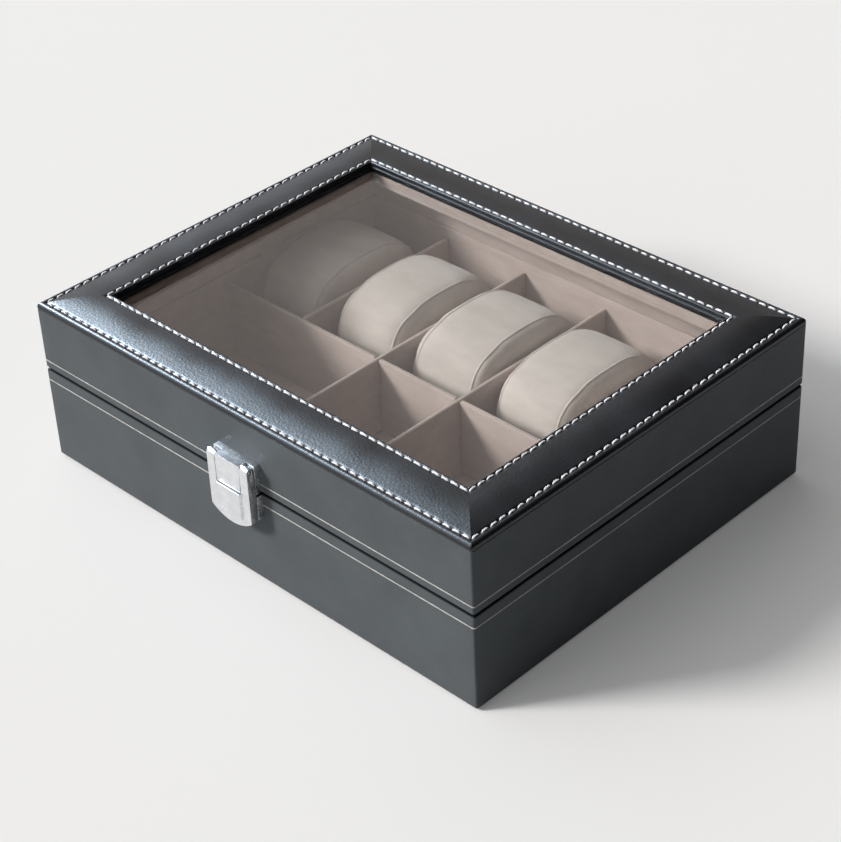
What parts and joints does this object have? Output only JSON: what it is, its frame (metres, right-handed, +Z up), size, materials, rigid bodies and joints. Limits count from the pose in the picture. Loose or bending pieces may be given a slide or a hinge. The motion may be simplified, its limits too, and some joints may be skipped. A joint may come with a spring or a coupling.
{
  "type": "watch box",
  "caption": "Leather-wrapped watch box with a hinged, glazed and stitched lid, a front clasp, velvet places and loose watch pillows.",
  "frame": {"origin": "middle of the underside, on the surface that the box stands on", "axes": "+X along the width to the right, -Y towards the clasp at the front, +Z up"},
  "size_m": [0.26, 0.218, 0.0838],
  "materials": {
    "black_leather": "fine grain, satin sheen",
    "fibreboard": "raw fibreboard",
    "velvet": "short beige velvet",
    "felt": "black felt",
    "foam": "open-cell foam",
    "thread": "twisted white thread",
    "pale_stripe": "pale foil line",
    "glass": "clear",
    "chrome": "polished",
    "steel": "plated"
  },
  "bodies": {
    "base": {"base_wrap": "black_leather", "base_stripe": "pale_stripe", "base_felt": "felt", "base_bottom_board": "fibreboard", "base_front_board": "fibreboard", "base_back_board": "fibreboard", "base_left_board": "fibreboard", "base_right_board": "fibreboard", "base_lining_front": "velvet", "base_lining_back": "velvet", "base_lining_left": "velvet", "base_lining_right": "velvet", "base_floor_pad": "velvet", "long_divider": "velvet", "cross_divider_1": "velvet", "cross_divider_2": "velvet", "cross_divider_3": "velvet", "cross_divider_4": "velvet", "catch_plate": "chrome", "catch_rivets": "steel", "hinge_base_leaf_left": "steel", "hinge_base_leaf_right": "steel", "hinge_pins": "steel", "hinge_base_screws": "steel"},
    "lid": {"lid_wrap": "black_leather", "lid_stripe": "pale_stripe", "lid_front_board": "fibreboard", "lid_back_board": "fibreboard", "lid_left_board": "fibreboard", "lid_right_board": "fibreboard", "lid_lining_front": "velvet", "lid_lining_back": "velvet", "lid_lining_left": "velvet", "lid_lining_right": "velvet", "lid_top_rails": "fibreboard", "lid_padding": "foam", "lid_cover": "black_leather", "lid_outer_seam": "thread", "lid_inner_seam": "thread", "lid_glass": "glass", "lid_glass_strips": "velvet", "hinge_lid_leaf_left": "steel", "hinge_lid_leaf_right": "steel", "hinge_lid_screws": "steel", "clasp_block": "chrome", "clasp_pin": "steel", "clasp_block_rivets": "steel"},
    "clasp": {"clasp_flap": "chrome", "clasp_tongue": "steel"},
    "pillow_1": {"pillow_cover_1": "velvet", "pillow_core_1": "foam"},
    "pillow_2": {"pillow_cover_2": "velvet", "pillow_core_2": "foam"},
    "pillow_3": {"pillow_cover_3": "velvet", "pillow_core_3": "foam"},
    "pillow_4": {"pillow_cover_4": "velvet", "pillow_core_4": "foam"},
    "pillow_5": {"pillow_cover_5": "velvet", "pillow_core_5": "foam"}
  },
  "joints": [
    {"name": "lid_hinge", "type": "hinge", "parent": "base", "child": "lid", "pos_m": [0, 0.1051, 0.0476], "axis": [-1, 0, 0], "range_deg": [0, 100]},
    {"name": "clasp_hinge", "type": "hinge", "parent": "lid", "child": "clasp", "pos_m": [0, -0.10815, 0.0606], "axis": [-1, 0, 0], "range_deg": [0, 110]},
    {"name": "pillow_1_lift", "type": "slide", "parent": "base", "child": "pillow_1", "axis": [0, 0, 1], "range_m": [0, 0.015]},
    {"name": "pillow_2_lift", "type": "slide", "parent": "base", "child": "pillow_2", "axis": [0, 0, 1], "range_m": [0, 0.015]},
    {"name": "pillow_3_lift", "type": "slide", "parent": "base", "child": "pillow_3", "axis": [0, 0, 1], "range_m": [0, 0.015]},
    {"name": "pillow_4_lift", "type": "slide", "parent": "base", "child": "pillow_4", "axis": [0, 0, 1], "range_m": [0, 0.015]},
    {"name": "pillow_5_lift", "type": "slide", "parent": "base", "child": "pillow_5", "axis": [0, 0, 1], "range_m": [0, 0.015]}
  ]
}
